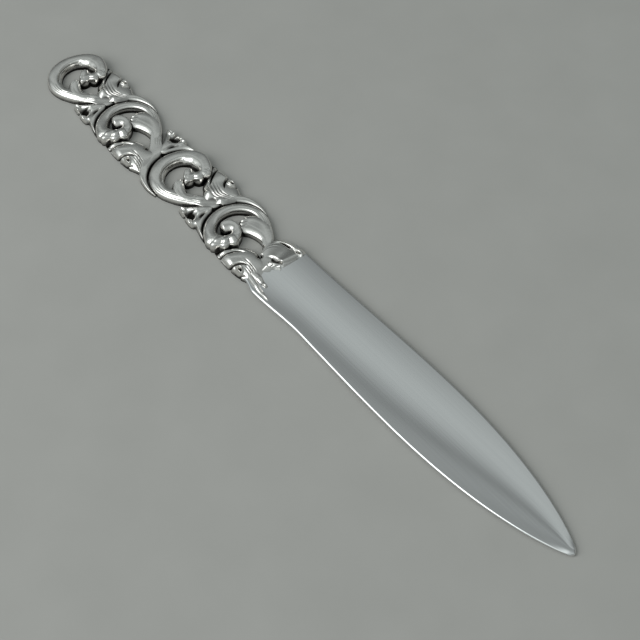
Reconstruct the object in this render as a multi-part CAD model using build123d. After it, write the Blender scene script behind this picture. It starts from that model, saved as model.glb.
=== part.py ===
from build123d import *
import os
from math import atan2, cos, degrees, radians, sin

# Silver letter opener, in millimetres: a plain lens-section blade and a pierced handle of running
# acanthus scrolls. The handle is a row of like units, every other one turned over. In a unit a half-round
# scroll winds into a volute, an eye curls out from under the volute's beaded lip, a leaflet lies inside the
# scroll's arm, and a lobed leaf fans out beside the volute. A wave stem and a forked bud join each unit to
# the next, and a terminal leaf holds the root of the blade. Every handle piece lies on one flat back, and
# the pieces meet at soldered seams.

# The row of scrolls
scroll_count = 4
scroll_pitch = 22.0
scroll_radius = 8.0
solder_seam = 0.05

# Scroll: arcs of falling radius, each tangent to the last. Radii are those of the centre line.
rim_width = 2.8
rim_height = 2.2
arm_radius = 16.0
arm_start = 44.0
arm_turn = 28.0
rim_turn = 143.0
shoulder_radius = 5.0
shoulder_turn = 50.0
curl_radius = 2.7
curl_turn = 82.0
curl_width = 4.4
curl_height = 3.2
lip_radius = 0.8
lip_spacing = 1.2
lip_height = 3.4

# Eye: the inner end of the volute
eye_start = 325.0
eye_radius = 2.5
eye_turn = 110.0
knob_radius = 1.8
knob_turn = 75.0
eye_width = 2.7
eye_height = 3.1

# Leaflet inside the scroll's arm
leaflet_root_width = 1.2
leaflet_width = 3.3
leaflet_height = 2.1
leaflet_tip_radius = 2.6
leaflet_tip_turn = 80.0

# Lobed leaf beside the volute
leaf_length = 9.2
leaf_reach = 8.5
leaf_width = 4.2
leaf_height = 2.5
leaf_root_step = 0.5

# Wave stem and forked bud between two units
stem_waist = 2.6
stem_height = 2.0
stem_tip_width = 0.5
stem_tip_height = 1.1
bud_width = 2.1
bud_height = 2.0
bud_reach = 8.2
bud_spread = 5.2
bud_root_aside = 1.3
bud_root_step = 0.6

# Terminal leaf and the sprig along the blade's edge
calyx_width = 3.8
calyx_height = 2.9
calyx_reach = 7.6
calyx_lap = 3.2
calyx_root_aside = 1.0
calyx_root_step = 0.25
sprig_width = 2.0
sprig_height = 2.3
sprig_length = 5.0
sprig_root_aside = 1.6
sprig_root_step = 1.2

# Blade
blade_start = 16.4
blade_length = 92.5
blade_root_half_width = 7.8
blade_belly = 45.0
blade_belly_half_width = 8.8
blade_fullness = 2.2
blade_sharpness = 0.77
blade_tip_radius = 0.6
blade_thickness = 1.9
blade_tip_thickness = 0.8
blade_edge = 0.5
blade_sections = 20
root_cover = 4.0
tongue_length = 2.2
tongue_half_width = 4.0
tongue_thickness = 1.2

# Half-round section: least height of its sides, how steep its crown may be, and the metal below the back
# that is ground off flat in the end. Sections stand about one spacing apart.
side_height = 0.8
crown_steepness = 0.9
back_allowance = 0.6
section_spacing = 2.0


def between(share, marks, values):
    """Value at a share of the way, on straight lines between values at rising marks."""
    for k in range(1, len(marks)):
        if share <= marks[k]:
            part = (share - marks[k - 1]) / (marks[k] - marks[k - 1])
            return values[k - 1] + part * (values[k] - values[k - 1])
    return values[-1]


def polar(centre, radius, angle):
    """Point at a radius and an angle in degrees round a centre."""
    x = centre[0] + radius * cos(radians(angle))
    y = centre[1] + radius * sin(radians(angle))
    return x, y


def section(station, width, height, grow):
    """Half-round section across a path: straight back and sides, arched crown."""
    x, y, heading = station
    half = width / 2 + grow
    top = height + grow
    side = max(side_height, top - crown_steepness * half)
    floor = -back_allowance - grow
    across = (-sin(radians(heading)), cos(radians(heading)), 0)
    along = (cos(radians(heading)), sin(radians(heading)), 0)
    back = Line((-half, floor), (half, floor))
    right = Line((half, floor), (half, side))
    crown = ThreePointArc((half, side), (0, top), (-half, side))
    left = Line((-half, side), (-half, floor))
    return Plane(origin=(x, y, 0), x_dir=across, z_dir=along) * make_face([back, right, crown, left])


def moved_on(station, distance):
    """Station moved straight on along its heading."""
    x, y = polar(station[:2], distance, station[2])
    return x, y, station[2]


def ribbon(stations, widths, heights, grow=0.0):
    """Half-round bar through sections on a path. Grown by a seam, it cuts the room for its neighbours."""
    if grow:
        stations = [moved_on(stations[0], -grow), *stations[1:-1], moved_on(stations[-1], grow)]
    return loft([section(*row, grow) for row in zip(stations, widths, heights)])


def arc_stations(centre, radius, start, end):
    """Stations about one spacing apart on an arc that is walked counter-clockwise, with both its ends."""
    count = max(2, round(radians(end - start) * radius / section_spacing))
    angles = [start + (end - start) * k / count for k in range(count + 1)]
    return [(*polar(centre, radius, angle), angle + 90) for angle in angles]


def bent_bar(centre, radius, start, end, width, height, grow=0.0):
    """Half-round bar of even section, bent on an arc that is walked counter-clockwise."""
    first = section((*polar(centre, radius, start), start + 90), width, height, grow)
    return revolve(first, Axis((*centre, 0), (0, 0, 1)), end - start)


def turning_bar(stations, marks, widths, heights, grow=0.0):
    """Half-round bar along arcs, with its widths and heights given at marks of the angle turned."""
    angles = [heading - 90 for x, y, heading in stations]
    station_widths = [between(angle, marks, widths) for angle in angles]
    station_heights = [between(angle, marks, heights) for angle in angles]
    return ribbon(stations, station_widths, station_heights, grow)


def lobe(base, bend, tip, width, height, grow=0.0):
    """Tongue of a leaf on a curve from base to tip, drawn towards bend: swells, then ends rounded."""
    swells = (0.5, 0.86, 1.0, 0.93, 0.5)
    rises = (0.7, 0.92, 1.0, 0.9, 0.6)
    stations = []
    for k in range(len(swells)):
        share = k / (len(swells) - 1)
        rest = 1 - share
        x = rest**2 * base[0] + 2 * rest * share * bend[0] + share**2 * tip[0]
        y = rest**2 * base[1] + 2 * rest * share * bend[1] + share**2 * tip[1]
        run = rest * (bend[0] - base[0]) + share * (tip[0] - bend[0])
        rise = rest * (bend[1] - base[1]) + share * (tip[1] - bend[1])
        stations.append((x, y, degrees(atan2(rise, run))))
    widths = [width * swell for swell in swells]
    heights = [height * rise for rise in rises]
    return ribbon(stations, widths, heights, grow)


def fan(root, step, size, width, height, lobes, grow=0.0):
    """Leaf of several lobes, whose roots stand one step apart along the stem. Each lobe gives its bend and
    its tip as shares of the leaf's size across and up from the root, then shares of the width and height."""
    tongues = []
    for number, (bend, tip, broad, high) in enumerate(lobes):
        base = moved_on(root, number * step)
        bend_at = (base[0] + bend[0] * size[0], base[1] + bend[1] * size[1])
        tip_at = (base[0] + tip[0] * size[0], base[1] + tip[1] * size[1])
        tongues.append(lobe(base, bend_at, tip_at, broad * width, high * height, grow))
    whole = tongues[0]
    for tongue in tongues[1:]:
        whole = whole + tongue
    return whole


def bead(place, radius, height, grow=0.0):
    """Upright post with a round top."""
    floor = -back_allowance - grow
    around = radius + grow
    waist = height - radius
    post = Cylinder(around, waist - floor, align=(Align.CENTER, Align.CENTER, Align.MIN))
    return Pos(*place, floor) * post + Pos(*place, waist) * Sphere(around)


# Centres of the scroll's arcs, with the middle of the ring at the unit's origin
rim_line = scroll_radius - rim_width / 2
arm_end = arm_start + arm_turn
rim_end = arm_end + rim_turn
shoulder_end = rim_end + shoulder_turn
curl_end = shoulder_end + curl_turn
arm_centre = polar((0, 0), rim_line - arm_radius, arm_end)
shoulder_centre = polar((0, 0), rim_line - shoulder_radius, rim_end)
curl_centre = polar(shoulder_centre, shoulder_radius - curl_radius, shoulder_end)
next_centre = (scroll_pitch, 0)

# Stem's straight part: from the end of the arm to its foot on the next scroll's ring
stem_start = moved_on((*polar(arm_centre, arm_radius, arm_start), arm_start - 90), solder_seam)
foot_width = stem_waist * 0.95
foot_angle = 212.0
stem_foot = polar(next_centre, scroll_radius + 2 * solder_seam + foot_width / 2, foot_angle)
stem_run = stem_foot[0] - stem_start[0]
stem_rise = stem_foot[1] - stem_start[1]
stem_slope = degrees(atan2(stem_rise, stem_run))


def on_stem(share, aside=0.0):
    """Station a share of the way along the stem's straight part, and some way aside of it to the left."""
    place = (stem_start[0] + share * stem_run, stem_start[1] + share * stem_rise)
    return *polar(place, aside, stem_slope + 90), stem_slope


def scroll(grow=0.0):
    """C-scroll: an arm, most of a ring and a swelling curl that ends in a lip of three beads."""
    first = arm_start - degrees(grow / arm_radius)
    arm = bent_bar(arm_centre, arm_radius, first, arm_end, rim_width, rim_height, grow)
    rim = bent_bar((0, 0), rim_line, arm_end, rim_end, rim_width, rim_height, grow)
    stations = arc_stations(shoulder_centre, shoulder_radius, rim_end, shoulder_end)[:-1]
    stations += arc_stations(curl_centre, curl_radius, shoulder_end, curl_end)
    marks = (rim_end, shoulder_end + curl_turn * 0.4, curl_end)
    widths = (rim_width, curl_width, curl_width * 0.9)
    heights = (rim_height, curl_height, curl_height * 0.9)
    whole = arm + rim + turning_bar(stations, marks, widths, heights, grow)
    for side in (-1, 0, 1):
        place = polar(curl_centre, curl_radius + side * lip_spacing, curl_end + 4)
        whole += bead(place, lip_radius, lip_height, grow)
    return whole


def volute_eye():
    """Inner curl that comes out from under the lip and ends in a round knob."""
    first_centre = polar(curl_centre, curl_radius - eye_radius, eye_start)
    knob_start = eye_start + eye_turn
    knob_end = knob_start + knob_turn
    knob_centre = polar(first_centre, eye_radius - knob_radius, knob_start)
    stations = arc_stations(first_centre, eye_radius, eye_start, knob_start)[:-1]
    stations += arc_stations(knob_centre, knob_radius, knob_start, knob_end)
    marks = (eye_start, knob_start, knob_end)
    widths = (eye_width, eye_width, eye_width * 0.75)
    heights = (eye_height, eye_height, eye_height * 0.9)
    curl = turning_bar(stations, marks, widths, heights)
    return curl + bead(stations[-1][:2], eye_width / 2, eye_height)


def leaflet(grow=0.0):
    """Round-ended leaflet: follows the inside of the scroll's arm, then turns in on its own arc."""
    stations = []
    widths = []
    for x, y, heading in arc_stations(arm_centre, arm_radius, arm_start, arm_end):
        width = between(heading - 90, (arm_start, arm_end), (leaflet_root_width, leaflet_width))
        inside = arm_radius - rim_width / 2 - 2 * solder_seam - width / 2
        stations.append((*polar(arm_centre, inside, heading - 90), heading))
        widths.append(width)
    tip_centre = polar(stations[-1][:2], leaflet_tip_radius, arm_end + 180)
    tip = arc_stations(tip_centre, leaflet_tip_radius, arm_end, arm_end + leaflet_tip_turn)[1:]
    for k in range(len(tip)):
        share = (k + 1) / len(tip)
        widths.append(leaflet_width * between(share, (0, 0.7, 1), (1.0, 0.95, 0.5)))
    stations += tip
    heights = []
    for k in range(len(stations)):
        share = k / (len(stations) - 1)
        heights.append(leaflet_height * between(share, (0, 0.5, 0.85, 1), (0.8, 1.0, 1.0, 0.65)))
    return ribbon(stations, widths, heights, grow)


def leaf(grow=0.0):
    """Acanthus leaf: three lobes that fan out from the stem and turn down to the handle's edge."""
    root = on_stem(0.8)
    lobes = (
        ((-0.83, -1.12), (-1.0, 0.93), 1.0, 1.0),
        ((-0.66, -0.34), (-0.64, 0.92), 1.0, 0.93),
        ((-0.36, -0.04), (-0.3, 0.8), 0.81, 0.87),
    )
    return fan(root, leaf_root_step, (leaf_length, -leaf_reach - root[1]), leaf_width, leaf_height, lobes, grow)


def stem(grow=0.0):
    """Wave stem: carries on from the end of one arm and runs out thin along the next scroll's ring."""
    stations = [stem_start, on_stem(0.25), on_stem(0.5), on_stem(0.75)]
    widths = [rim_width, rim_width * 0.85, stem_waist, stem_waist]
    for turn, share in ((0, 1.0), (16, 0.79), (32, 0.53)):
        widths.append(foot_width * share)
        out = scroll_radius + 2 * solder_seam + widths[-1] / 2
        stations.append((*polar(next_centre, out, foot_angle + turn), foot_angle + turn + 90))
    out = scroll_radius + 2 * solder_seam + stem_tip_width / 2
    stations.append((*polar(next_centre, out, foot_angle + 48), foot_angle + 138))
    widths.append(stem_tip_width)
    heights = [rim_height] + [stem_height] * 4 + [stem_height * 0.9, stem_height * 0.7, stem_tip_height]
    return ribbon(stations, widths, heights, grow)


def turned_over(piece):
    """Piece of a unit that lies the other way across the handle."""
    return mirror(piece, about=Plane.XZ)


def bud():
    """Forked bud: two lobes that part from the stem, one along each of the two scrolls."""
    root = on_stem(0.33, bud_root_aside)
    lobes = (
        ((-0.12, 0.79), (-1.02, 0.93), 1.0, 1.0),
        ((0.08, 0.79), (0.92, 1.05), 1.0, 1.0),
    )
    return fan(root, bud_root_step, (bud_spread, bud_reach - root[1]), bud_width, bud_height, lobes)


def blade_half_width(place):
    """Half the blade's width: swells on a sine from the root to the belly, then falls to the point."""
    if place < blade_belly:
        rise = sin(radians(90 * max(place, 0.0) / blade_belly)) ** 2
        return blade_root_half_width + (blade_belly_half_width - blade_root_half_width) * rise
    share = (place - blade_belly) / (blade_length + blade_tip_radius - blade_belly)
    return blade_belly_half_width * (1 - share**blade_fullness) ** blade_sharpness


def blade_thick(place):
    """Thickness on the blade's middle line: even as far as the belly, then falling to the point."""
    share = max(0.0, (place - blade_belly) / (blade_length - blade_belly))
    return blade_thickness - (blade_thickness - blade_tip_thickness) * share**2


def blade_section(place, grow):
    """Lens section across the blade, with thin flat edges."""
    half = blade_half_width(place) + grow
    thickness = blade_thick(place)
    low = -2 * back_allowance if grow else (thickness - blade_edge) / 2
    under = low - grow if grow else 0.0
    high = (thickness + blade_edge) / 2 + grow
    lens = make_face([
        ThreePointArc((-half, low), (0, under), (half, low)),
        Line((half, low), (half, high)),
        ThreePointArc((half, high), (0, thickness + grow), (-half, high)),
        Line((-half, high), (-half, low)),
    ])
    return Plane(origin=(blade_start + place, 0, 0), x_dir=(0, 1, 0), z_dir=(1, 0, 0)) * lens


def blade(grow=0.0):
    """Blade: lens sections from root to point, corners rounded, and a tongue behind the root."""
    first = -root_cover - grow
    places = [first + (blade_length - first) * k / blade_sections for k in range(blade_sections + 1)]
    body = loft([blade_section(place, grow) for place in places])
    point = body.faces().sort_by(Axis.X)[-1].edges().sort_by(Axis.Y)
    body = fillet([point[0], point[-1]], blade_tip_radius)
    low = -2 * back_allowance if grow else (blade_thickness - tongue_thickness) / 2
    high = (blade_thickness + tongue_thickness) / 2 + grow
    tongue = Box(
        tongue_length + root_cover + grow, 2 * (tongue_half_width + grow), high - low,
        align=(Align.MAX, Align.CENTER, Align.MIN),
    )
    return body + Pos(blade_start, 0, low) * tongue


def calyx(grow=0.0):
    """Terminal leaf: four lobes that fan out over the root of the blade."""
    root = on_stem(0.45, -calyx_root_aside)
    size = (blade_start - root_cover + calyx_lap - root[0], calyx_reach - root[1])
    lobes = (
        ((-0.77, 0.82), (1.02, 1.0), 0.95, 1.0),
        ((-0.15, 0.61), (0.94, 0.64), 1.0, 1.0),
        ((0.25, 0.23), (0.9, 0.29), 0.84, 0.97),
        ((0.26, 0.02), (0.64, -0.07), 0.74, 0.94),
    )
    return fan(root, calyx_root_step, size, calyx_width, calyx_height, lobes, grow)


def sprig():
    """Small leaf that runs out along the blade's edge, with one side shoot."""
    root = on_stem(0.85, -sprig_root_aside)
    size = (blade_start + sprig_length - root[0], -blade_root_half_width - root[1])
    lobes = (
        ((0.18, 1.1), (1.0, 0.95), 1.0, 1.0),
        ((0.26, 0.5), (0.62, 0.2), 0.8, 0.96),
    )
    return fan(root, sprig_root_step, size, sprig_width, sprig_height, lobes)


def ground_flat(piece):
    """Piece with its back ground flat at the level that the opener lies on."""
    across = 4 * scroll_pitch
    below = Box(across, across, 4 * back_allowance, align=(Align.CENTER, Align.CENTER, Align.MAX))
    return piece - below


# Neighbours grown by the seam, which cut the room that a piece leaves for them
seam_scroll = scroll(solder_seam)
seam_next = Pos(scroll_pitch, 0, 0) * turned_over(seam_scroll)
seam_stem = stem(solder_seam)
seam_leaflet = leaflet(solder_seam)
seam_leaf = leaf(solder_seam)
seam_blade = blade(solder_seam)
seam_calyx = calyx(solder_seam)

unit_scroll = ground_flat(scroll())
unit_eye = ground_flat(volute_eye() - seam_scroll)
unit_leaflet = ground_flat(leaflet())
own_leaf = leaf() - seam_scroll - seam_leaflet
unit_leaf = ground_flat(own_leaf - seam_stem - seam_next)
unit_stem = ground_flat(stem())
unit_bud = ground_flat(bud() - seam_scroll - seam_stem - seam_next)
last_leaf = ground_flat(own_leaf - seam_blade)
calyx_leaf = ground_flat(calyx() - seam_scroll - seam_leaf - seam_blade)
edge_leaf = ground_flat(sprig() - seam_leaf - seam_calyx - seam_blade)

row_length = (scroll_count - 1) * scroll_pitch
middle = (blade_start + blade_length - row_length - scroll_radius) / 2

nodes = {}
for number in range(1, scroll_count + 1):
    place = Pos((number - scroll_count) * scroll_pitch - middle, 0, 0)
    last = number == scroll_count
    over = (scroll_count - number) % 2 == 1
    unit = {"scroll": unit_scroll, "volute_eye": unit_eye, "leaflet": unit_leaflet}
    unit["leaf"] = last_leaf if last else unit_leaf
    if not last:
        unit["stem"] = unit_stem
        unit["bud"] = unit_bud
    for name, piece in unit.items():
        nodes[f"{name}_{number}"] = place * (turned_over(piece) if over else piece)
nodes["calyx_leaf"] = Pos(-middle, 0, 0) * calyx_leaf
nodes["edge_leaf"] = Pos(-middle, 0, 0) * edge_leaf
nodes["blade"] = Pos(-middle, 0, 0) * blade()

os.makedirs("parts", exist_ok=True)
for name, shape in nodes.items():
    export_step(shape, f"parts/{name}.step")
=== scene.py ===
import math

import bpy
import numpy as np
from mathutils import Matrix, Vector


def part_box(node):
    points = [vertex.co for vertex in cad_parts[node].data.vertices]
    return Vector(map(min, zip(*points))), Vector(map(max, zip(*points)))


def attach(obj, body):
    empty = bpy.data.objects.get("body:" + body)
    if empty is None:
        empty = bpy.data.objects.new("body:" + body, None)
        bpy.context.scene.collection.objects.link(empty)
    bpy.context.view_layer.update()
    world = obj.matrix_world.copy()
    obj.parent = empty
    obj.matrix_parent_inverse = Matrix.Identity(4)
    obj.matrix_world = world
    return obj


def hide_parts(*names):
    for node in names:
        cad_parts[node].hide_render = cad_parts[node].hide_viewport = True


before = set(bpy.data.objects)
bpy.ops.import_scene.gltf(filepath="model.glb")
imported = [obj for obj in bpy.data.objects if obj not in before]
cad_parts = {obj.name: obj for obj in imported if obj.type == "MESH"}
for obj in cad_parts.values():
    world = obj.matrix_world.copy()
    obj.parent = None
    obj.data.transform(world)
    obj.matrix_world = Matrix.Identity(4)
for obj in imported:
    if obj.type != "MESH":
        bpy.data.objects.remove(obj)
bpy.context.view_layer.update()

# Blade: a flat tongue of sterling silver, rolled and filed to a lens section with a thin blunt edge. Its
# root lies under the terminal leaf, where its near edge flares a little. It was polished lengthwise, which
# leaves a satin face with hair-fine lines along it.
MM = 0.001
blade_root, blade_start = -5.05, -1.05
blade_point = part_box("blade")[1].x / MM
blade_root_half, blade_belly_half, blade_belly = 7.8, 8.8, 45.0
fall_power, fall_root, fall_past_point = 2.2, 0.77, 0.6
tip_round, tip_least = 0.55, 0.02
blade_thick, blade_tip_thick = 1.9, 1.2
nose_length, nose_drop = 1.5, 0.7
flare_width, flare_from, flare_full, flare_fall, flare_end = 0.98, -5.0, -1.0, -0.5, 15.0
rim_share, rim_widest = 0.45, 0.4
rim_fade, rim_loss = 5.0, 0.8
row_crowding = 0.8
hair_length, hair_width, cloud_size = 50.0, 0.357, 11.1
sharp_corner = math.radians(50)


def linear(code):
    """Linear colour from an sRGB hex code: the usual power curve with its straight foot."""
    parts = np.array([int(code[k:k + 2], 16) / 255 for k in (1, 3, 5)])
    curved = np.where(parts <= 0.04045, parts / 12.92, ((parts + 0.055) / 1.055) ** 2.4)
    return (*curved, 1.0)


def node(tree, kind, inputs=None, **settings):
    """Adds a node with its settings. An input is a value to set or a socket to link."""
    made = tree.nodes.new(kind)
    for name, value in settings.items():
        setattr(made, name, value)
    for name, value in (inputs or {}).items():
        if isinstance(value, bpy.types.NodeSocket):
            tree.links.new(value, made.inputs[name])
        else:
            made.inputs[name].default_value = value
    return made


def new_material(name):
    """Material with an empty node tree, and that tree."""
    made = bpy.data.materials.new(name)
    made.use_nodes = True
    made.node_tree.nodes.clear()
    return made, made.node_tree


def silver_piece(name, points, faces, material, node_name):
    """Mesh piece from points in millimetres and lists of their numbers, smooth but for its sharp corners. It
    takes a node's place on the body."""
    mesh = bpy.data.meshes.new(name)
    mesh.from_pydata((points * MM).tolist(), [], faces)
    mesh.polygons.foreach_set("use_smooth", np.ones(len(mesh.polygons), bool))
    mesh.set_sharp_from_angle(angle=sharp_corner)
    mesh.update()
    piece = bpy.data.objects.new(name, mesh)
    bpy.context.scene.collection.objects.link(piece)
    mesh.materials.append(material)
    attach(piece, "root")
    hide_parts(node_name)


def ease(x):
    """Smooth step from 0 to 1."""
    x = np.clip(x, 0, 1)
    return x * x * (3 - 2 * x)


def into_last(x, stretch):
    """Share of the blade's last stretch that lies behind x: 0 up to where it starts, 1 at the point."""
    return np.clip(1 + (x - blade_point) / stretch, 0, 1)


def blade_surface(rows, turns):
    """Lens section carried along the blade, in rows drawn together towards the point. Half the width swells
    on a squared sine to the belly, falls as a power curve and ends in a round tip. Across, the thickness is
    a parabola between two half-round rims. From the belly it thins with the square of the length, and once
    more in the nose, where the rims fade out. The near edge flares by the cube of the share across."""
    x = blade_root + (blade_point - blade_root) * np.linspace(0, 1, rows)[:, None] ** row_crowding
    place = x - blade_start
    length = blade_point - blade_start
    swell = np.sin(np.pi / 2 * np.clip(place, 0, blade_belly) / blade_belly) ** 2
    fall = np.clip((place - blade_belly) / (length + fall_past_point - blade_belly), 0, 1)
    half = blade_root_half + (blade_belly_half - blade_root_half) * swell
    half = half * (1 - fall**fall_power) ** fall_root
    half = half * np.maximum(np.sqrt(1 - into_last(x, tip_round) ** 2), tip_least)
    thin = into_last(x, length - blade_belly) ** 2
    thick = blade_thick - (blade_thick - blade_tip_thick) * thin
    thick = thick * np.sqrt(1 - nose_drop * into_last(x, nose_length) ** 2)
    turn = np.linspace(0, 2 * np.pi, turns, endpoint=False)
    across = np.sin(np.pi / 2 * np.cos(turn))
    flare = flare_width * ease((x - flare_from) / (flare_full - flare_from))
    flare = flare * (1 - ease((x - flare_fall) / (flare_end - flare_fall)))
    y = half * across - flare * (0.5 - across / 2) ** 3
    rim = rim_share * thick * (1 - rim_loss * into_last(x, rim_fade))
    rim_reach = np.minimum(rim / 2, rim_widest * half)
    in_rim = np.clip(1 + (np.abs(across) - 1) * half / rim_reach, 0, 1)
    lens = (thick - rim) * (1 - across**2) + rim * np.sqrt(1 - in_rim**2)
    z = thick / 2 + np.where(np.sin(turn) >= 0, 1, -1) * lens / 2
    return np.stack([np.broadcast_to(x, y.shape), y, z], -1)


def skin(grid):
    """Faces of a grid that closes on itself round its second direction: quads, and one flat face per end."""
    rows, turns = grid.shape[:2]
    index = np.arange(rows * turns).reshape(rows, turns)
    beside = np.roll(index, -1, axis=1)
    quads = np.stack([index[:-1], beside[:-1], beside[1:], index[1:]], -1).reshape(-1, 4)
    return quads.tolist() + [index[0, ::-1].tolist(), index[-1].tolist()]


# Satin-polished sterling silver: bright, nearly neutral metal. The lengthwise polish blurs what it mirrors
# and leaves faint hair lines, drawn here about 0.36 mm wide so that they show.
blade_silver, tree = new_material("satin_polished_sterling_silver")
surface = node(tree, "ShaderNodeTexCoord")
lengthwise = node(tree, "ShaderNodeMapping", {
    "Vector": surface.outputs["Object"],
    "Scale": (1 / (hair_length * MM), 1 / (hair_width * MM), 1 / (hair_width * MM))})
hair = node(tree, "ShaderNodeTexNoise", {
    "Vector": lengthwise.outputs["Vector"], "Scale": 1.0, "Detail": 3.0})
cloud = node(tree, "ShaderNodeTexNoise", {
    "Vector": surface.outputs["Object"], "Scale": 1 / (cloud_size * MM), "Detail": 2.0})
polish = node(tree, "ShaderNodeMapRange", {"Value": cloud.outputs["Fac"], "To Min": 0.08, "To Max": 0.12})
tone = node(tree, "ShaderNodeMix", {
    "Factor": hair.outputs["Fac"], "A": linear("#dfe0e0"), "B": linear("#eaeaea")}, data_type="RGBA")
lines = node(tree, "ShaderNodeBump", {"Height": hair.outputs["Fac"], "Strength": 0.05, "Distance": 0.0001})
metal = node(tree, "ShaderNodeBsdfPrincipled", {
    "Base Color": tone.outputs["Result"], "Metallic": 1.0,
    "Roughness": polish.outputs["Result"], "Normal": lines.outputs["Normal"]})
node(tree, "ShaderNodeOutputMaterial", {"Surface": metal.outputs["BSDF"]})

blade_grid = blade_surface(240, 144)
blade_points = blade_grid.reshape(-1, 3)
silver_piece("blade_form", blade_points, skin(blade_grid), blade_silver, "blade")

# Scrolls: four half-round C-scrolls of cast silver, soldered in a row with every other one turned over. Each
# carries its stem's band up an arm, round most of a ring and into a swelling volute, where it is chased with
# folds and a scalloped hem. The values with False and True are for a unit as it is and for one turned over.
ring_radius = 8.0
scroll_starts = [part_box(name)[0].x / MM for name in ("scroll_1", "scroll_2")]
pitch, first_ring = scroll_starts[1] - scroll_starts[0], scroll_starts[0] + ring_radius
unit_turned = {1: True, 2: False, 3: True, 4: False}
arm_centre, arm_turn = (-2.998, -9.225), (44, 51, 58, 65)
ring_turn = (72, 90, 110, 130, 150, 170, 190, 210, 230, 250)
stem_outside = [(22.6, -8.15), (20.6, -8.05), (18.7, -7.5), (16.9, -6.4), (15.2, -4.5), (14.1, -1.9),
                (13.3, 0.3), (11.6, 2.0)]
stem_inside = [(22.6, -8.4), (20.4, -8.75), (18.3, -8.65), (16.0, -8.1), (14.2, -6.7), (12.9, -4.6),
               (11.5, -2.6), (9.8, -0.75)]
arm_outside, arm_inside = [17.75, 17.6, 17.6, 17.6], [14.95, 14.9, 14.9, 14.9]
ring_outside = [7.95] * 7 + [8.0, 8.1, 8.25]
ring_inside = {
    False: [5.5, 5.6, 5.5, 5.35, 5.3, 5.25, 5.15, 5.0, 4.85, 4.7],
    True: [5.3, 4.8, 4.3, 4.0, 3.8, 3.7, 3.7, 3.75, 3.85, 3.95]}
volute_outside = {
    False: [(-1.0, -8.4), (0.8, -7.9), (2.3, -6.4), (3.3, -4.6), (3.5, -2.9), (2.9, -1.3), (1.6, 0.1),
            (-0.1, 0.8), (-1.8, 0.7), (-3.1, -0.1), (-3.65, -1.5), (-3.2, -2.8), (-2.2, -3.5)],
    True: [(-0.9, -8.2), (1.2, -7.8), (3.2, -6.9), (4.6, -5.6), (5.1, -4.1), (4.8, -2.6), (4.2, -1.2),
           (3.7, 0.1), (2.9, 1.1), (1.7, 0.8), (0.7, 0.0), (-0.1, -1.1), (-0.6, -2.2)]}
volute_inside = {
    False: [(-0.7, -4.1), (-0.1, -3.75), (0.15, -3.35), (0.25, -2.95), (0.25, -2.6), (0.2, -2.3),
            (0.08, -2.08), (-0.08, -2.05), (-0.22, -2.2), (-0.35, -2.5), (-0.5, -2.9), (-0.8, -3.2),
            (-1.2, -3.4)],
    True: [(-0.5, -3.75), (0.4, -3.85), (1.2, -3.85), (1.8, -3.7), (2.05, -3.4), (1.95, -3.1), (1.8, -2.9),
           (1.7, -2.8), (1.55, -2.75), (1.4, -2.75), (1.2, -2.8), (0.9, -2.9), (0.6, -3.05)]}
outer_height = ([0.4, 0.5, 0.5, 0.5, 0.5, 0.6, 1.3, 1.75, 1.6, 1.1] + [0.8] * 10
                + [1.1, 1.4, 1.6, 1.6, 1.6, 1.6, 1.4, 1.1] + [0.8] * 7)
inner_height = ([0.4, 0.5, 0.6, 0.9, 1.5, 1.75, 1.75, 1.5, 1.8, 1.95, 1.95, 1.95, 1.7, 1.2] + [0.5] * 11
                + [0.6, 0.8, 1.1, 1.3, 1.3, 1.0, 0.7, 0.6, 0.6, 0.6])
wave_crest = ([0.7, 1.1, 1.4, 1.7, 1.85, 1.95, 2.0, 2.0, 2.05] + [2.1] * 9
              + [2.15, 2.3, 2.5, 2.75, 2.95, 3.05, 3.1, 3.1, 3.05, 3.0, 2.95, 2.95]
              + [3.0, 3.05, 3.05, 2.95, 2.7])
# Numbers of the edges' points: the stem has 0 to 7, the arm 8 to 11, the ring 12 to 21, the volute 22 to 34.
stem_end, bulb_end, eye_end = 8, 26, 34
streaks_from, streaks_end = 7, 14
groove_from, groove_end = 13, 20
bulb_from, bulb_full, eye_from, eye_full = 18, 22, 25, 29
teeth_from, teeth_end = 28, 31
ring_arch = {False: (0.58, 2.4, 3.6), True: (0.58, 2.4, 2.2)}
bulb_arch = {False: (0.45, 1.9, 2.6), True: (0.45, 5.0, 2.6)}
eye_arch = (0.42, 4.5, 2.6)
folds_from = {False: 23, True: 25.5}
fold_height = {False: 0.26, True: 0.12}
tooth_depth = {False: 0.14, True: 0.0}
fold_width, fold_swing, tooth_width = 1.7, 0.35, 0.8
hem_height, hem_hollow, rim_height, rim_groove = 0.14, 0.2, 0.3, 0.55
arm_streaks, streak_width, streak_depth = np.array([0.2, 0.36, 0.52]), 0.035, 0.13
eye_round, eye_wall = 1.1, 0.1
dent_size = 1.43


def ring_points(centre, radii, angles):
    """Points at given radii and angles in degrees round a centre."""
    turn = np.radians(angles)
    return np.asarray(centre) + np.asarray(radii)[:, None] * np.stack([np.cos(turn), np.sin(turn)], -1)


def spline(points, knots, at):
    """Smooth curve through points at knots: cubic pieces whose slopes are weighted means of the chords."""
    slope = np.gradient(points, knots, axis=0)
    k = np.clip(np.searchsorted(knots, at, side="right") - 1, 0, len(knots) - 2)
    span = (knots[k + 1] - knots[k])[..., None]
    t = (at - knots[k])[..., None] / span
    start = (1 + 2 * t) * (1 - t) ** 2 * points[k] + t * (1 - t) ** 2 * span * slope[k]
    return start + t**2 * (3 - 2 * t) * points[k + 1] + t**2 * (t - 1) * span * slope[k + 1]


def middle_knots(left, right):
    """Length along the middle line between two edges at each pair of their points."""
    steps = np.linalg.norm(np.diff((left + right)[:, :2] / 2, axis=0), axis=1)
    return np.concatenate([[0.0], np.cumsum(steps)])


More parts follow.
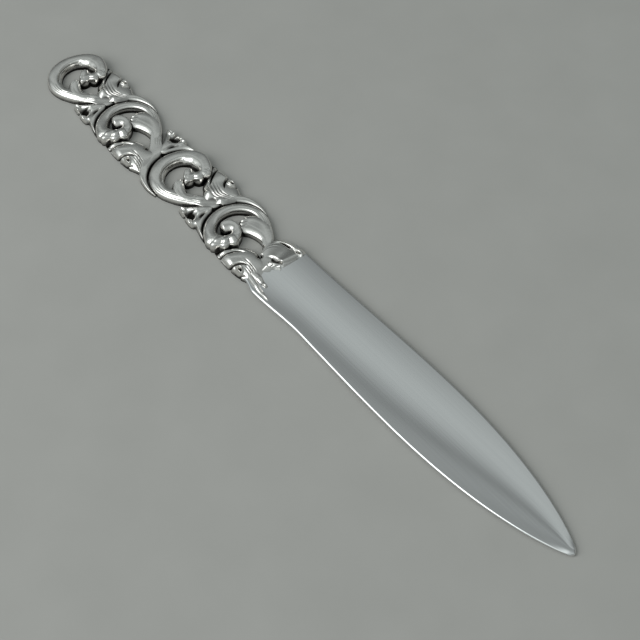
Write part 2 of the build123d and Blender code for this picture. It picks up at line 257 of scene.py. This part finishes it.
def sheet(left, right, crest, along, across):
    """Sheet between two edges, at shares along and across it: places on straight lines from one edge's
    spline to the other's, with the edges' own heights, and the crest's height there, a spline on the same
    knots."""
    left, right, crest = np.array(left), np.array(right), np.array(crest)[:, None]
    knots = middle_knots(left, right)
    at = np.clip(along, 0, 1) * knots[-1]
    share = across[..., None]
    place = (1 - share) * spline(left, knots, at) + share * spline(right, knots, at)
    return place, spline(crest, knots, at)[..., 0]


def arch(across, peak, left, right):
    """Arch over a width: 1 at its peak, falling to 0 at both edges as a round shoulder. A higher power on
    one side keeps it flat for longer there and then drops steeply."""
    away = np.where(across < peak, (peak - across) / peak, (across - peak) / (1 - peak))
    return np.sqrt(np.clip(1 - away ** np.where(across < peak, left, right), 0, 1))


def raised(place, crest, shape):
    """Heights that rise from the edges' own heights to the crest by a given shape."""
    return place[..., 2] + (crest - place[..., 2]) * shape


def bell(x, middle, width):
    """Bell curve: 1 in the middle, falling as the exponential of the squared distance."""
    return np.exp(-((x - middle) / width) ** 2)


def between(x, first, last, rise, fall):
    """1 between two places, easing in after the first and out before the last."""
    return ease((x - first) / rise) * ease((last - x) / fall)


def rounded_end(along, start, end=1.0, least=0.12):
    """Factor that brings a height down in a quarter round over a last stretch, and leaves a low end wall."""
    return np.sqrt(np.clip(1 - np.clip((along - start) / (end - start), 0, 1) ** 2, least, 1))


def patch(rows, columns):
    """Shares along and across a piece, with the columns drawn together at both edges where it turns down."""
    along = np.linspace(0, 1, rows)
    across = 0.5 - 0.5 * np.cos(np.pi * np.linspace(0, 1, columns))
    return np.meshgrid(along, across, indexing="ij")


def block(place, height):
    """Closed casting: the grid on top, the same grid flat on the back, and a wall round the rim. The sum of
    the grid's signed areas tells which way its faces have to run to point outwards."""
    rows, columns = height.shape
    count = rows * columns
    top = np.concatenate([place[..., :2], height[..., None]], -1).reshape(-1, 3)
    back = top * (1, 1, 0)
    index = np.arange(count).reshape(rows, columns)
    quads = np.stack([index[:-1, :-1], index[1:, :-1], index[1:, 1:], index[:-1, 1:]], -1).reshape(-1, 4)
    rim = np.concatenate([index[0, :-1], index[:-1, -1], index[-1, :0:-1], index[:0:-1, 0]])
    after = np.roll(rim, -1)
    walls = np.stack([rim, after, after + count, rim + count], -1)
    faces = np.concatenate([quads, quads[:, ::-1] + count, walls])
    one, two = top[quads[:, 1]] - top[quads[:, 0]], top[quads[:, 3]] - top[quads[:, 0]]
    if np.sum(one[:, 0] * two[:, 1] - one[:, 1] * two[:, 0]) < 0:
        faces = faces[:, ::-1]
    return np.concatenate([top, back]), faces


def casting(name, shape, number):
    """Piece of cast silver in its unit's place in the row. In a unit that lies turned over its points are
    mirrored, so its faces run the other way round."""
    points, faces = shape
    if unit_turned[number]:
        points, faces = points * (1, -1, 1), faces[:, ::-1]
    points = points + (first_ring + pitch * (number - 1), 0, 0)
    silver_piece(f"{name}_form", points, faces.tolist(), cast_silver, name)


def wave_edges(turned):
    """Outer and inner edge of the whole band with their heights: points along the stem and round the volute,
    and arcs along the arm and the ring."""
    outer = np.concatenate([
        stem_outside, ring_points(arm_centre, arm_outside, arm_turn),
        ring_points((0, 0), ring_outside, ring_turn), volute_outside[turned]])
    inner = np.concatenate([
        stem_inside, ring_points(arm_centre, arm_inside, arm_turn),
        ring_points((0, 0), ring_inside[turned], ring_turn), volute_inside[turned]])
    return np.column_stack([outer, outer_height]), np.column_stack([inner, inner_height])


def wave(start, end, rows, turned=False):
    """Band from the thin end of a stem to the curled eye, cut at two numbers of its edges' points, so that
    two pieces share the section where they meet. Its arch leans inwards and changes to another in the bulb
    and in the eye. The folds are the size of a cosine along the band; they swing the outer edge and raise
    the outer half, which ends in a hem with a hollow behind it. Streaks run along the arm, and fine teeth, a
    cosine, edge the eye. A band turned over has its folds further on, no teeth, and a groove behind the
    ring's inner rim."""
    left, right = wave_edges(turned)
    knots = middle_knots(left, right)
    along, across = patch(rows, 45)
    at = knots[start] + (knots[end] - knots[start]) * along
    place, crest = sheet(left, right, wave_crest, at / knots[-1], across)
    bulb = ease((at - knots[bulb_from]) / (knots[bulb_full] - knots[bulb_from]))
    eye = ease((at - knots[eye_from]) / (knots[eye_full] - knots[eye_from]))
    profile = arch(across, *ring_arch[turned])
    profile += (arch(across, *bulb_arch[turned]) - profile) * bulb
    profile += (arch(across, *eye_arch) - profile) * eye
    folds = (at - np.interp(folds_from[turned], np.arange(len(knots)), knots)) / fold_width
    hem = between(folds, -0.6, 2.6, 0.4, 0.4)
    fold = (2 * np.abs(np.cos(np.pi * folds)) - 1) * hem
    teeth = np.cos(2 * np.pi * (at - knots[teeth_from]) / tooth_width)
    teeth = tooth_depth[turned] * teeth * between(at, knots[teeth_from], knots[teeth_end], 0.5, 0.5)
    outwards = spline(left, knots, at)[..., :2] - spline(right, knots, at)[..., :2]
    outwards = outwards / np.linalg.norm(outwards, axis=-1, keepdims=True)
    swing = fold_swing * fold * (1 - across) ** 2 + teeth * (1 - across) ** 5
    place[..., :2] += outwards * swing[..., None]
    height = raised(place, crest, profile)
    height += fold_height[turned] * fold * profile * ease((0.7 - across) / 0.5)
    height += hem * profile * (hem_height * bell(across, 0.07, 0.05) - hem_hollow * bell(across, 0.24, 0.09))
    streaks = bell(across[..., None], arm_streaks, streak_width).sum(-1)
    height -= streak_depth * streaks * between(at, knots[streaks_from], knots[streaks_end], 2.0, 3.0)
    if turned:
        groove = rim_height * bell(across, 0.9, 0.04) - rim_groove * bell(across, 0.78, 0.045)
        height += groove * between(at, knots[groove_from], knots[groove_end], 3.0, 2.0)
    return block(place, height * rounded_end(at, knots[-1] - eye_round, knots[-1], eye_wall))


# Polished cast silver, oxidised in the recesses: bright on the high places, with the soft dents of hand
# finishing, and near-black colour low in the relief. That colour is partly a matt film of silver sulphide
# where polishing can't reach, and partly painted shade for the shadow in the hollows and on the low walls.
# This mix is the piece's own attribute. The dents are drawn 1.4 mm wide so that they show.
cast_silver, tree = new_material("cast_sterling_silver_sulphide_and_painted_shade")
surface = node(tree, "ShaderNodeTexCoord")
# Sulphide and painted shade: this mask turns the low places near black. Part of that is the real film, and
# part is painted shade.
sulphide_and_shade_mask = node(tree, "ShaderNodeAttribute", attribute_name="sulphide_and_shade")
pits = node(tree, "ShaderNodeTexNoise", {
    "Vector": surface.outputs["Object"], "Scale": 1 / (dent_size * MM), "Detail": 3.0})
tone = node(tree, "ShaderNodeMix", {
    "Factor": sulphide_and_shade_mask.outputs["Fac"], "A": linear("#e9e7e3"), "B": linear("#211f1c")}, data_type="RGBA")
polish = node(tree, "ShaderNodeMapRange", {"Value": sulphide_and_shade_mask.outputs["Fac"], "To Min": 0.2, "To Max": 0.5})
dents = node(tree, "ShaderNodeBump", {"Height": pits.outputs["Fac"], "Strength": 0.16, "Distance": 0.0002})
metal = node(tree, "ShaderNodeBsdfPrincipled", {
    "Base Color": tone.outputs["Result"], "Metallic": 1.0,
    "Roughness": polish.outputs["Result"], "Normal": dents.outputs["Normal"]})
node(tree, "ShaderNodeOutputMaterial", {"Surface": metal.outputs["BSDF"]})

for number, turned in unit_turned.items():
    casting(f"scroll_{number}", wave(stem_end, bulb_end, 170, turned), number)

# Volute eyes: the inner end of each volute, a round tongue of the same cast silver that curls in and hangs
# over a narrow slit. It goes on where the scroll's bulb ends.
for number, turned in unit_turned.items():
    casting(f"volute_eye_{number}", wave(bulb_end, eye_end, 80, turned), number)

# Leaflets: a broad tongue of cast silver that splits from the inside of each scroll's arm. Its face is
# chased hollow and its round end has a scalloped edge. In a unit turned over it is shorter and points at
# the eye.
leaflet_left = {
    False: [(9.8, 1.0, 1.4), (8.5, 3.2, 1.85), (6.5, 5.0, 1.95), (4.1, 6.0, 1.95), (1.6, 6.0, 1.9),
            (-0.7, 4.9, 1.75), (-1.8, 3.0, 1.5)],
    True: [(9.4, 1.0, 1.4), (8.3, 3.2, 1.8), (6.6, 4.8, 1.6), (4.5, 5.2, 1.2), (2.6, 4.7, 0.8),
           (1.2, 3.7, 0.6), (0.8, 2.5, 0.6)]}
leaflet_right = {
    False: [(8.8, 0.5, 1.1), (7.8, 1.4, 1.1), (6.5, 1.8, 1.1), (5.0, 1.75, 1.1), (3.6, 1.4, 1.2),
            (2.4, 0.8, 1.2), (1.5, -0.1, 1.1)],
    True: [(7.9, 0.7, 1.1), (7.3, 1.6, 1.1), (6.4, 2.2, 1.1), (5.2, 2.2, 1.1), (4.2, 1.9, 1.2),
           (3.3, 1.4, 1.2), (2.7, 1.0, 1.1)]}
leaflet_crest = [1.95, 2.15, 2.2, 2.25, 2.3, 2.35, 2.3]
leaflet_arch, leaflet_bow = (0.4, 2.0, 2.2), 1.0
leaflet_hollow = (-0.12, (0.45, 0.7), (0.16, 0.2))
scallop_count, scallop_depth, scallop_height = 4, 0.14, 0.12


def moved_ahead(place, distance):
    """Places moved on along the rows, without change of height."""
    step = np.gradient(place[..., :2], axis=0)
    step = step / np.linalg.norm(step, axis=-1, keepdims=True)
    return np.concatenate([place[..., :2] + step * distance[..., None], place[..., 2:]], -1)


def dot(across, along, height, middle, size):
    """Soft rise or hollow on a sheet: the product of two bell curves over its shares."""
    return height * bell(across, middle[0], size[0]) * bell(along, middle[1], size[1])


def leaflet_shape(turned):
    """Tongue between two edges, with a flat arch and a soft hollow in its face. Its end bows out as a sine
    across it, and a cosine scallops the bow and beads the face behind it."""
    along, across = patch(90, 61)
    place, crest = sheet(leaflet_left[turned], leaflet_right[turned], leaflet_crest, along, across)
    scallop = np.cos(2 * np.pi * scallop_count * across)
    bow = (leaflet_bow + scallop_depth * scallop) * np.sin(np.pi * across) ** 0.6
    place = moved_ahead(place, bow * ease((along - 0.6) / 0.4) ** 2)
    height = raised(place, crest, arch(across, *leaflet_arch))
    height += dot(across, along, *leaflet_hollow)
    height += scallop_height * scallop * ease((along - 0.82) / 0.12) * np.sin(np.pi * across)
    return block(place, height * rounded_end(along, 0.92))


for number, turned in unit_turned.items():
    casting(f"leaflet_{number}", leaflet_shape(turned), number)

# Leaves: an acanthus leaf of cast silver beside each volute, soldered to the arm. It is one smooth fan with
# streaks chased towards the stem and rolled tips parted by notches. In a unit turned over it reaches further
# over the arm.
leaf_left = {
    False: [(15.0, -4.6, 1.5), (13.8, -2.8, 1.7), (12.2, -1.1, 1.8), (9.0, -1.1, 1.2), (5.6, -1.8, 0.8),
            (3.5, -3.4, 0.6), (1.5, -8.0, 0.5)],
    True: [(15.2, -4.2, 1.7), (14.3, -1.9, 1.9), (12.6, -0.5, 1.8), (10.2, 0.5, 1.6), (7.2, -0.9, 1.0),
           (4.6, -3.2, 0.6), (1.5, -8.0, 0.5)]}
leaf_right = [(15.2, -7.0, 1.2), (14.5, -7.1, 1.0), (13.9, -7.3, 0.8), (13.3, -7.5, 0.8), (12.8, -7.7, 0.8),
              (12.3, -7.9, 0.7), (11.9, -8.1, 0.7)]
leaf_crest = [1.6, 1.9, 2.2, 2.4, 2.4, 2.2, 1.9]
leaf_arch, leaf_bow, leaf_least = (0.46, 2.4, 1.9), 0.45, 0.3
notch_across, notch_width = np.array([0.22, 0.60, 0.92]), np.array([0.022, 0.026, 0.022])
notch_pull, notch_depth = np.array([0.05, 0.14, 0.07]), np.array([0.9, 1.3, 0.8])
first_tip_drop = 0.8
first_tip = (0.3, (0.12, 0.93), (0.05, 0.08))
second_tip = (0.22, (0.4, 0.86), (0.13, 0.16))
third_tip = (0.65, (0.79, 0.81), (0.085, 0.07))
third_tip_hole = (-1.3, (0.79, 0.81), (0.04, 0.033))
leaf_streaks = [(-0.38, (0.57, 0.46), (0.028, 0.14)), (-0.38, (0.66, 0.38), (0.028, 0.20)),
                (-0.38, (0.75, 0.36), (0.028, 0.22)), (-0.38, (0.84, 0.36), (0.028, 0.18))]
leaf_streak_slant, leaf_streak_shift = 0.5, {False: -0.2, True: 0.1}
hole_end_pit = (-1.6, (10.0, -1.3), 0.5)
leaf_spots = {
    False: [hole_end_pit],
    True: [(0.7, (9.4, -1.2), 1.4), (0.7, (13.2, -2.0), 1.0), (-1.4, (11.7, -0.5), 0.6)]}
hoop_width = 0.45


def spot(place, height, middle, size):
    """Soft rise or hollow in the plan: a bell curve over the distance from a point."""
    return height * bell(np.linalg.norm(place[..., :2] - middle, axis=-1), 0, size)


def hoop(across, along, height, middle, size):
    """Soft ring on a sheet, a curled tip: a bell curve over the distance from a circle."""
    away = np.hypot((across - middle[0]) / size[0], (along - middle[1]) / size[1])
    return height * bell(away, 1, hoop_width)


def leaf_shape(turned):
    """Fan between two edges with a broad arch. Bell-shaped notches pull the rim back and cut in. The first
    tip sinks under the volute's bulb, the second swells, and the third curls to a ring with a hole. Streaks
    are long bells that slant across. A leaf turned over has two lobes over the arm with a pit between them;
    the other has a pit at the end of the ring's opening."""
    along, across = patch(110, 131)
    notches = bell(across[..., None], notch_across, notch_width)
    pull = notches @ notch_pull
    place, crest = sheet(leaf_left[turned], leaf_right, leaf_crest, along * (1 - pull), across)
    place[..., 1] -= leaf_bow * np.sin(np.pi * across) * ease((along - 0.7) / 0.3)
    height = raised(place, crest, arch(across, *leaf_arch))
    height -= first_tip_drop * ease((along - 0.55) / 0.25) * (1 - ease((across - 0.04) / 0.1))
    height -= notches @ notch_depth * ease((along - 0.6) / 0.25)
    height += dot(across, along, *first_tip) + dot(across, along, *second_tip)
    height += hoop(across, along, *third_tip) + dot(across, along, *third_tip_hole)
    slant = across + leaf_streak_slant * along + leaf_streak_shift[turned]
    height += sum(dot(slant, along, *streak) for streak in leaf_streaks)
    height += sum(spot(place, *lobe_or_pit) for lobe_or_pit in leaf_spots[turned])
    return block(place, np.maximum(height * rounded_end(along, 0.88), leaf_least))


for number, turned in unit_turned.items():
    casting(f"leaf_{number}", leaf_shape(turned), number)

# Stems: the flat wave of cast silver that leaves each arm for the next scroll and runs out thin along its
# ring. It is soldered between the two.
stem = wave(0, stem_end, 90)
for number in (1, 2, 3):
    casting(f"stem_{number}", stem, number)

# Buds: a small spray of cast silver in each fork between a stem and the next scroll. It grows out of the
# stem with no seam to be seen, and its tips are chased into curls.
bud_left = [(11.9, 0.6, 1.2), (11.1, 2.4, 1.6), (10.1, 3.7, 1.2), (9.0, 4.8, 0.8), (7.8, 5.8, 0.6),
            (6.9, 6.7, 0.5)]
bud_right = [(12.9, 0.2, 1.2), (13.8, 1.4, 0.9), (14.3, 2.9, 0.6), (15.0, 4.4, 0.5), (16.6, 6.3, 0.5),
             (19.6, 8.0, 0.5)]
bud_crest = [1.7, 2.0, 2.0, 1.95, 1.9, 1.75]
bud_arch, bud_bow, bud_least = (0.5, 3.0, 3.0), 0.35, 0.3
bud_notch_pull, bud_bay_pull, bud_corner_pull, bud_notch_depth = 0.1, 0.15, 0.14, 1.0
bud_hollow = (-2.0, (0.40, 0.74), (0.17, 0.15))
bud_bay_hollow = (-0.9, (0.72, 0.56), (0.08, 0.2))
bud_curls = [(0.4, (0.16, 0.88), (0.09, 0.09)), (0.4, (0.52, 0.93), (0.07, 0.07))]


def bud_shape():
    """Fan between the arm's edge and the next ring: smooth at its root, with a deep hollow, two curled tips
    and a thin horn along the ring. A notch parts the first tip, a bay draws the rim in before the horn, and
    the first corner is rounded off. All are bell curves but the corner, an eased step."""
    along, across = patch(100, 101)
    notch = bell(across, 0.30, 0.03)
    corner = (1 - ease(across / 0.14)) ** 2
    pull = bud_notch_pull * notch + bud_bay_pull * bell(across, 0.74, 0.13) + bud_corner_pull * corner
    place, crest = sheet(bud_left, bud_right, bud_crest, along * (1 - pull), across)
    place[..., 1] += bud_bow * np.sin(np.pi * across) * ease((along - 0.7) / 0.3)
    height = raised(place, crest, arch(across, *bud_arch))
    height -= bud_notch_depth * notch * ease((along - 0.74) / 0.2)
    height += dot(across, along, *bud_hollow) + dot(across, along, *bud_bay_hollow)
    height += sum(hoop(across, along, *curl) for curl in bud_curls)
    return block(place, np.maximum(height * rounded_end(along, 0.9), bud_least))


bud = bud_shape()
for number in (1, 2, 3):
    casting(f"bud_{number}", bud, number)

# Terminal leaf: a broad reeded fan of cast silver that sweeps from the last arm over the root of the blade,
# where it is soldered down. Its lip is scalloped, and the near lobe is chased into beads.
calyx_left = [(11.2, -4.6, 1.5), (10.1, -1.6, 1.5), (8.5, 1.0, 1.3), (7.8, 3.6, 1.0), (8.8, 5.9, 0.8),
              (11.8, 7.1, 0.9), (15.9, 7.7, 1.4)]
calyx_right = [(12.2, -5.0, 1.6), (12.5, -4.7, 1.8), (12.8, -4.4, 1.9), (13.1, -4.1, 1.9), (13.4, -3.9, 1.9),
               (13.6, -3.7, 1.9), (13.8, -3.5, 1.9)]
calyx_crest = [1.8, 2.0, 2.1, 2.2, 2.35, 2.5, 2.55]
calyx_arch, calyx_least, calyx_most = (0.45, 2.4, 3.0), 0.3, 3.25
lobe_edges = np.array([-0.02, 0.16, 0.62, 1.02])
lobe_notch_pull, lobe_notch_width = np.array([0.12, 0.08]), 0.025
lip_bow, lip_point = 0.9, 0.9
lobe_roll, lobe_roll_drop, lip_sink, near_lobe_roll = 0.7, 0.8, 0.1, -0.05
lip_ridge = 0.15
bead_edges = np.array([0.64, 0.73, 0.82, 1.0])
bead_height = np.array([0.5, 0.5, 0.9])
near_groove_depth, far_groove_depth = 1.8, 0.9
near_groove_pit = (-0.7, (0.66, 0.79), (0.03, 0.03))
reed_width, reed_height = 0.085, 0.05
over_blade_from, over_blade_half, over_blade_least = 12.6, 6.0, blade_thick + 0.08


def calyx_shape():
    """Fan between two edges with a broad arch and a cosine of soft reeds along its far side. Two notches
    part the lip into three lobes. The first two roll up across their width and drop at the end; the near one
    has beads, each with a steep front and a slope behind it. Grooves are cut back from both notches, as bell
    curves, and a pit at the end of the ring's opening. Over the blade the leaf stays above the blade's
    face."""
    along, across = patch(120, 131)
    lobe = np.clip(np.searchsorted(lobe_edges, across) - 1, 0, 2)
    share = (across - lobe_edges[lobe]) / (lobe_edges[lobe + 1] - lobe_edges[lobe])
    pull = bell(across[..., None], lobe_edges[1:3], lobe_notch_width) @ lobe_notch_pull
    place, crest = sheet(calyx_left, calyx_right, calyx_crest, along * (1 - pull), across)
    lip = ease((along - 0.7) / 0.3)
    place[..., 0] += lip * (lip_bow * np.sin(np.pi * across) + lip_point * bell(across, 0.69, 0.05))
    height = raised(place, crest, arch(across, *calyx_arch))
    roll = lobe_roll * share - lobe_roll_drop * ease((share - 0.88) / 0.12)
    height += (np.where(lobe == 2, near_lobe_roll, roll) - lip_sink) * ease((along - 0.5) / 0.4)
    height += lip_ridge * (bell(along, 0.94, 0.045) - bell(along, 0.84, 0.06))
    which = np.clip(np.searchsorted(bead_edges, across) - 1, 0, 2)
    bead = np.clip((across - bead_edges[which]) / np.diff(bead_edges)[which], 0, 1)
    slope = bead_height[which] * (1 - bead) * ease(bead / 0.25)
    height += (lobe == 2) * slope * ease((along - 0.7) / 0.12)
    height -= near_groove_depth * bell(across, 0.62 + 0.04 * (1 - lip), 0.02) * ease((along - 0.74) / 0.05)
    height -= far_groove_depth * bell(across, 0.15, 0.025) * ease((along - 0.7) / 0.1)
    height += dot(across, along, *near_groove_pit)
    reeds = np.cos(2 * np.pi * across / reed_width) * (1 - ease((across - 0.2) / 0.2))
    height += reed_height * reeds * between(along, 0.15, 0.75, 0.2, 0.2)
    height += spot(place, *hole_end_pit)
    height = np.minimum(height, calyx_most) * (0.6 + 0.4 * rounded_end(along, 0.95))
    over_blade = (place[..., 0] > over_blade_from) & (np.abs(place[..., 1]) < over_blade_half)
    return block(place, np.maximum(height, np.where(over_blade, over_blade_least, calyx_least)))


casting("calyx_leaf", calyx_shape(), 4)

# Sprig: a small leaf of two tongues in cast silver, soldered along the near edge of the blade's root beside
# the terminal leaf.
long_left = [(12.0, -5.2, 1.2), (14.5, -6.0, 1.3), (17.0, -6.6, 1.3), (21.6, -7.3, 1.2)]
long_right = [(11.8, -7.2, 0.9), (14.2, -7.6, 0.9), (17.0, -8.0, 0.9), (21.6, -7.9, 0.9)]
long_crest = [1.9, 2.0, 2.0, 1.5]
short_left = [(12.6, -4.4, 1.3), (14.4, -4.4, 1.4), (16.2, -4.9, 1.4), (18.4, -5.3, 1.4)]
short_right = [(12.4, -6.4, 1.2), (14.4, -6.4, 1.3), (16.2, -6.2, 1.3), (18.2, -6.1, 1.3)]
short_crest = [2.1, 2.2, 2.2, 2.1]
tongue_arch, tongue_swell = (0.5, 2.2, 2.2), 0.1


def tongue(left, right, crest):
    """Small tongue between two edges: an arch that swells as a cosine along its outer part, round at its
    end."""
    along, across = patch(80, 25)
    place, crest = sheet(left, right, crest, along, across)
    swell = tongue_swell * np.cos(4 * np.pi * (along - 0.85)) * ease((along - 0.3) / 0.3)
    height = raised(place, crest * (1 + swell), arch(across, *tongue_arch))
    return block(place, height * rounded_end(along, 0.85))


def joined(one, two):
    """Points and faces of two castings that make one piece."""
    return np.concatenate([one[0], two[0]]), np.concatenate([one[1], two[1] + len(one[0])])


sprig = joined(tongue(long_left, long_right, long_crest), tongue(short_left, short_right, short_crest))
casting("edge_leaf", sprig, 4)

# Oxide and painted shade: near-black colour low in the relief. Part of it is the film of silver sulphide:
# the whole handle is dipped, and polishing takes the film off the faces again, so that it stays in the
# recesses.
# The rest is painted shade for the shadow that falls in the same hollows and on the low walls.
raster_cell, raster_margin, surroundings = 0.2, 4.0, 1.0
sulphide_and_shade_from, sulphide_and_shade_full = -0.2, 0.5
blade_face = 0.9 * blade_thick


def darken_with_sulphide_and_shade(meshes):
    """Sets the attribute of the handle's meshes that holds sulphide film and painted shade together. The
    relief's greatest height in each cell of a raster, with the blade's face laid in, is smoothed by a bell
    curve in both directions, as a product of Fourier transforms. A point's darkening, sulphide and painted
    shade together, eases from none to full with its depth below that mean."""
    own_points = []
    for mesh in meshes:
        flat = np.empty(len(mesh.vertices) * 3)
        mesh.vertices.foreach_get("co", flat)
        own_points.append(flat.reshape(-1, 3) / MM)
    points = np.concatenate(own_points)
    low = points.min(0)[:2] - raster_margin
    own_cells = [np.floor((own[:, :2] - low) / raster_cell).astype(int) for own in own_points]
    cells = np.concatenate(own_cells)
    relief = np.zeros(cells.max(0) + 1 + int(raster_margin / raster_cell))
    np.maximum.at(relief, (cells[:, 0], cells[:, 1]), points[:, 2])
    start, near = np.ceil(((blade_start, -blade_root_half) - low) / raster_cell).astype(int)
    far = math.ceil((blade_root_half - low[1]) / raster_cell)
    relief[start:, near:far] = np.maximum(relief[start:, near:far], blade_face)
    spreads = []
    for count in relief.shape:
        step = np.arange(count)
        spread = np.exp(-(np.minimum(step, count - step) * raster_cell / surroundings) ** 2 / 2)
        spreads.append(spread / spread.sum())
    mean = np.fft.ifft2(np.fft.fft2(relief) * np.fft.fft2(np.outer(*spreads))).real
    for mesh, own, at in zip(meshes, own_points, own_cells):
        depth = mean[at[:, 0], at[:, 1]] - own[:, 2]
        # Near black with depth: partly sulphide film, partly painted shade in the hollows and on the low
        # walls.
        sulphide_and_shade = ease((depth - sulphide_and_shade_from) / (sulphide_and_shade_full - sulphide_and_shade_from)).astype(np.float32)
        mesh.attributes.new("sulphide_and_shade", "FLOAT", "POINT").data.foreach_set("value", sulphide_and_shade)


darken_with_sulphide_and_shade([mesh for mesh in bpy.data.meshes if cast_silver.name in mesh.materials])

# Floor: a plain slab of grey stone, ground matt, with a faint mottle of patches under 20 mm wide. The opener
# lies loose on it, on its flat back.
mottle_size, floor_half = 16.7, 3.0
floor_stone, tree = new_material("matt_grey_stone")
surface = node(tree, "ShaderNodeTexCoord")
mottle = node(tree, "ShaderNodeTexNoise", {
    "Vector": surface.outputs["Object"], "Scale": 1 / (mottle_size * MM), "Detail": 4.0})
tone = node(tree, "ShaderNodeMix", {
    "Factor": mottle.outputs["Fac"], "A": linear("#adaca8"), "B": linear("#b7b6b2")}, data_type="RGBA")
stone = node(tree, "ShaderNodeBsdfPrincipled", {"Base Color": tone.outputs["Result"], "Roughness": 0.8})
node(tree, "ShaderNodeOutputMaterial", {"Surface": stone.outputs["BSDF"]})
floor_corners = floor_half * np.array([(-1, -1, 0), (1, -1, 0), (1, 1, 0), (-1, 1, 0)])
floor_mesh = bpy.data.meshes.new("floor")
floor_mesh.from_pydata(floor_corners.tolist(), [], [(0, 1, 2, 3)])
floor_mesh.materials.append(floor_stone)
floor = bpy.data.objects.new("floor", floor_mesh)
bpy.context.scene.collection.objects.link(floor)

# Light: one large soft window on the near side, above the opener. The pale studio round it gets brighter
# upwards, has broad light and dark walls one after the other, and glows round the window.
window_place, window_side, window_power = (-0.16, -0.5, 0.42), 0.5, 1.5
wall_bearing = (-0.665, 0.747, 0.0)
wall_brightness = ((0.0, 0.36), (0.27, 0.32), (0.37, 0.35), (0.415, 0.32), (0.44, 0.26), (0.465, 0.31),
                   (0.515, 0.47), (0.56, 0.53), (0.63, 0.47), (0.70, 0.375), (0.79, 0.265), (1.0, 0.24))
window_data = bpy.data.lights.new("window", "AREA")
window_data.size = window_side
window_data.energy = window_power
window = bpy.data.objects.new("window", window_data)
window.location = window_place
window.rotation_euler = (-Vector(window_place)).to_track_quat("-Z", "Y").to_euler()
bpy.context.scene.collection.objects.link(window)

studio = bpy.data.worlds.new("studio")
studio.use_nodes = True
tree = studio.node_tree
tree.nodes.clear()
direction = node(tree, "ShaderNodeTexCoord")
parts = node(tree, "ShaderNodeSeparateXYZ", {"Vector": direction.outputs["Generated"]})
upwards = node(tree, "ShaderNodeMapRange", {
    "Value": parts.outputs["Z"], "From Min": 0.0, "From Max": 0.6, "To Min": 0.4, "To Max": 1.0})
bearing = node(tree, "ShaderNodeVectorMath", {
    0: direction.outputs["Generated"], 1: wall_bearing}, operation="DOT_PRODUCT")
walls = node(tree, "ShaderNodeFloatCurve", {"Value": bearing.outputs["Value"]})
curve = walls.mapping.curves[0]
for place, brightness in wall_brightness[1:-1]:
    curve.points.new(place, brightness)
curve.points[0].location = wall_brightness[0]
curve.points[-1].location = wall_brightness[-1]
walls.mapping.update()
room = node(tree, "ShaderNodeMath", {
    0: upwards.outputs["Result"], 1: walls.outputs["Value"]}, operation="MULTIPLY")
facing = node(tree, "ShaderNodeVectorMath", {
    0: direction.outputs["Generated"], 1: Vector(window_place).normalized()}, operation="DOT_PRODUCT")
halo = node(tree, "ShaderNodeMapRange", {
    "Value": facing.outputs["Value"], "From Min": 0.6, "From Max": 0.97, "To Min": 0.0, "To Max": 0.6},
    interpolation_type="SMOOTHSTEP")
lit_room = node(tree, "ShaderNodeMath", {
    0: room.outputs["Value"], 1: halo.outputs["Result"]}, operation="ADD")
glow = node(tree, "ShaderNodeBackground", {
    "Color": linear("#f3fbfa"), "Strength": lit_room.outputs["Value"]})
node(tree, "ShaderNodeOutputWorld", {"Surface": glow.outputs["Background"]})
bpy.context.scene.world = studio

# Camera: looks down on the opener from the near side of its point, with the photograph's lens. Its place was
# worked out from the blade's two edges, which mirror each other, and from the scrolls' even pitch.
lens_angle = 26.0
camera_place, camera_tilt, camera_bearing = (0.15361, -0.11856, 0.25166), 35.88, 49.966
camera_data = bpy.data.cameras.new("camera")
camera_data.angle = math.radians(lens_angle)
camera = bpy.data.objects.new("camera", camera_data)
camera.location = camera_place
camera.rotation_euler = (math.radians(camera_tilt), 0, math.radians(camera_bearing))
bpy.context.scene.collection.objects.link(camera)
bpy.context.scene.camera = camera
bpy.context.scene.view_settings.view_transform = "Standard"
